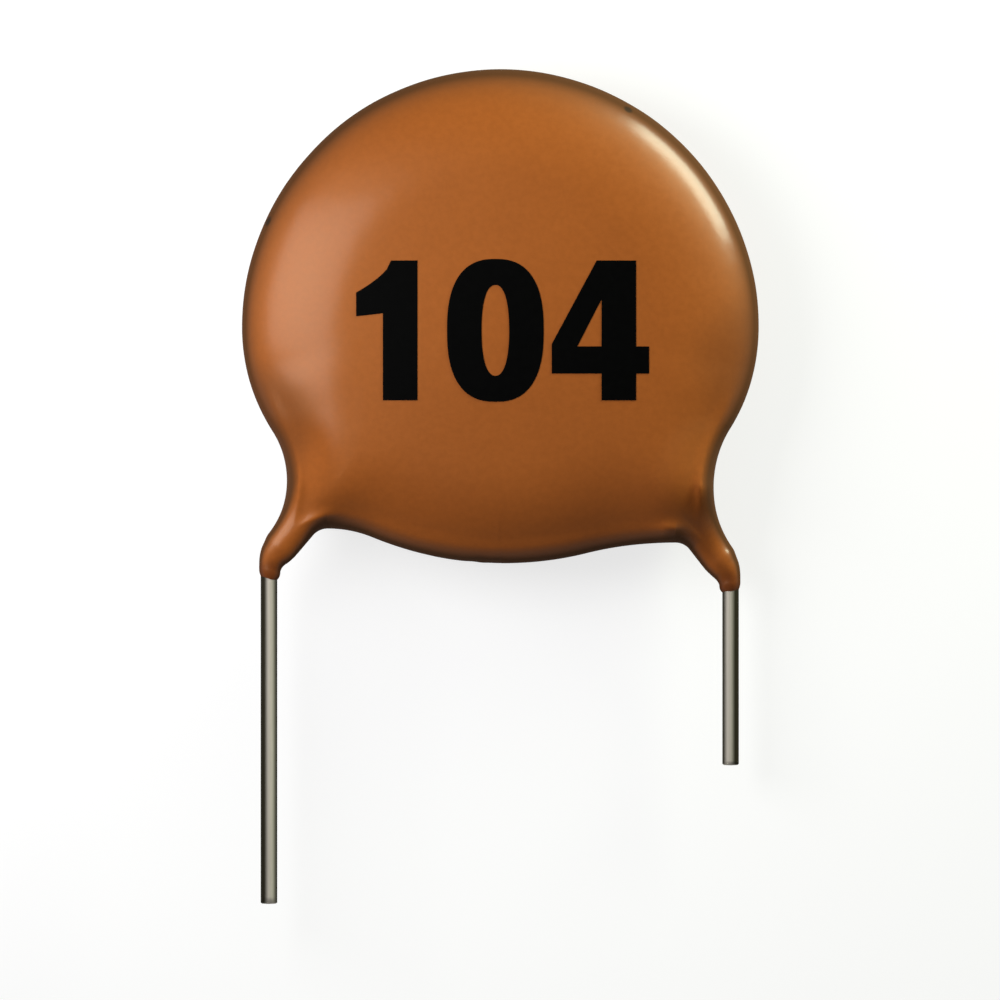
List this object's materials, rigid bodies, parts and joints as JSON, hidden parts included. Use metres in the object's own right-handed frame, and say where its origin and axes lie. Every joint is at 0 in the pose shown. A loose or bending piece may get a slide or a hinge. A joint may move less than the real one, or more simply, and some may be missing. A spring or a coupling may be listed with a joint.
{
  "type": "ceramic disc capacitor",
  "caption": "Flat round ceramic capacitor in an orange-brown dipped coating, with radial wire leads of unequal length for a circuit board.",
  "frame": {"origin": "centre of the coated disc, on its rear face, which it rests on", "axes": "+Z out of the front face, +Y towards the crown of the disc, -Y along the leads, +X to the side of the shorter lead"},
  "size_m": [0.014, 0.0226, 0.0035],
  "materials": {
    "coating": "satin",
    "ceramic": "matte",
    "silver": "satin",
    "solder": "satin",
    "tinned_wire": "satin"
  },
  "bodies": {
    "root": {"coating": "coating", "ceramic_disc": "ceramic", "front_electrode": "silver", "rear_electrode": "silver", "front_solder": "solder", "rear_solder": "solder", "left_lead": "tinned_wire", "right_lead": "tinned_wire"}
  },
  "joints": []
}
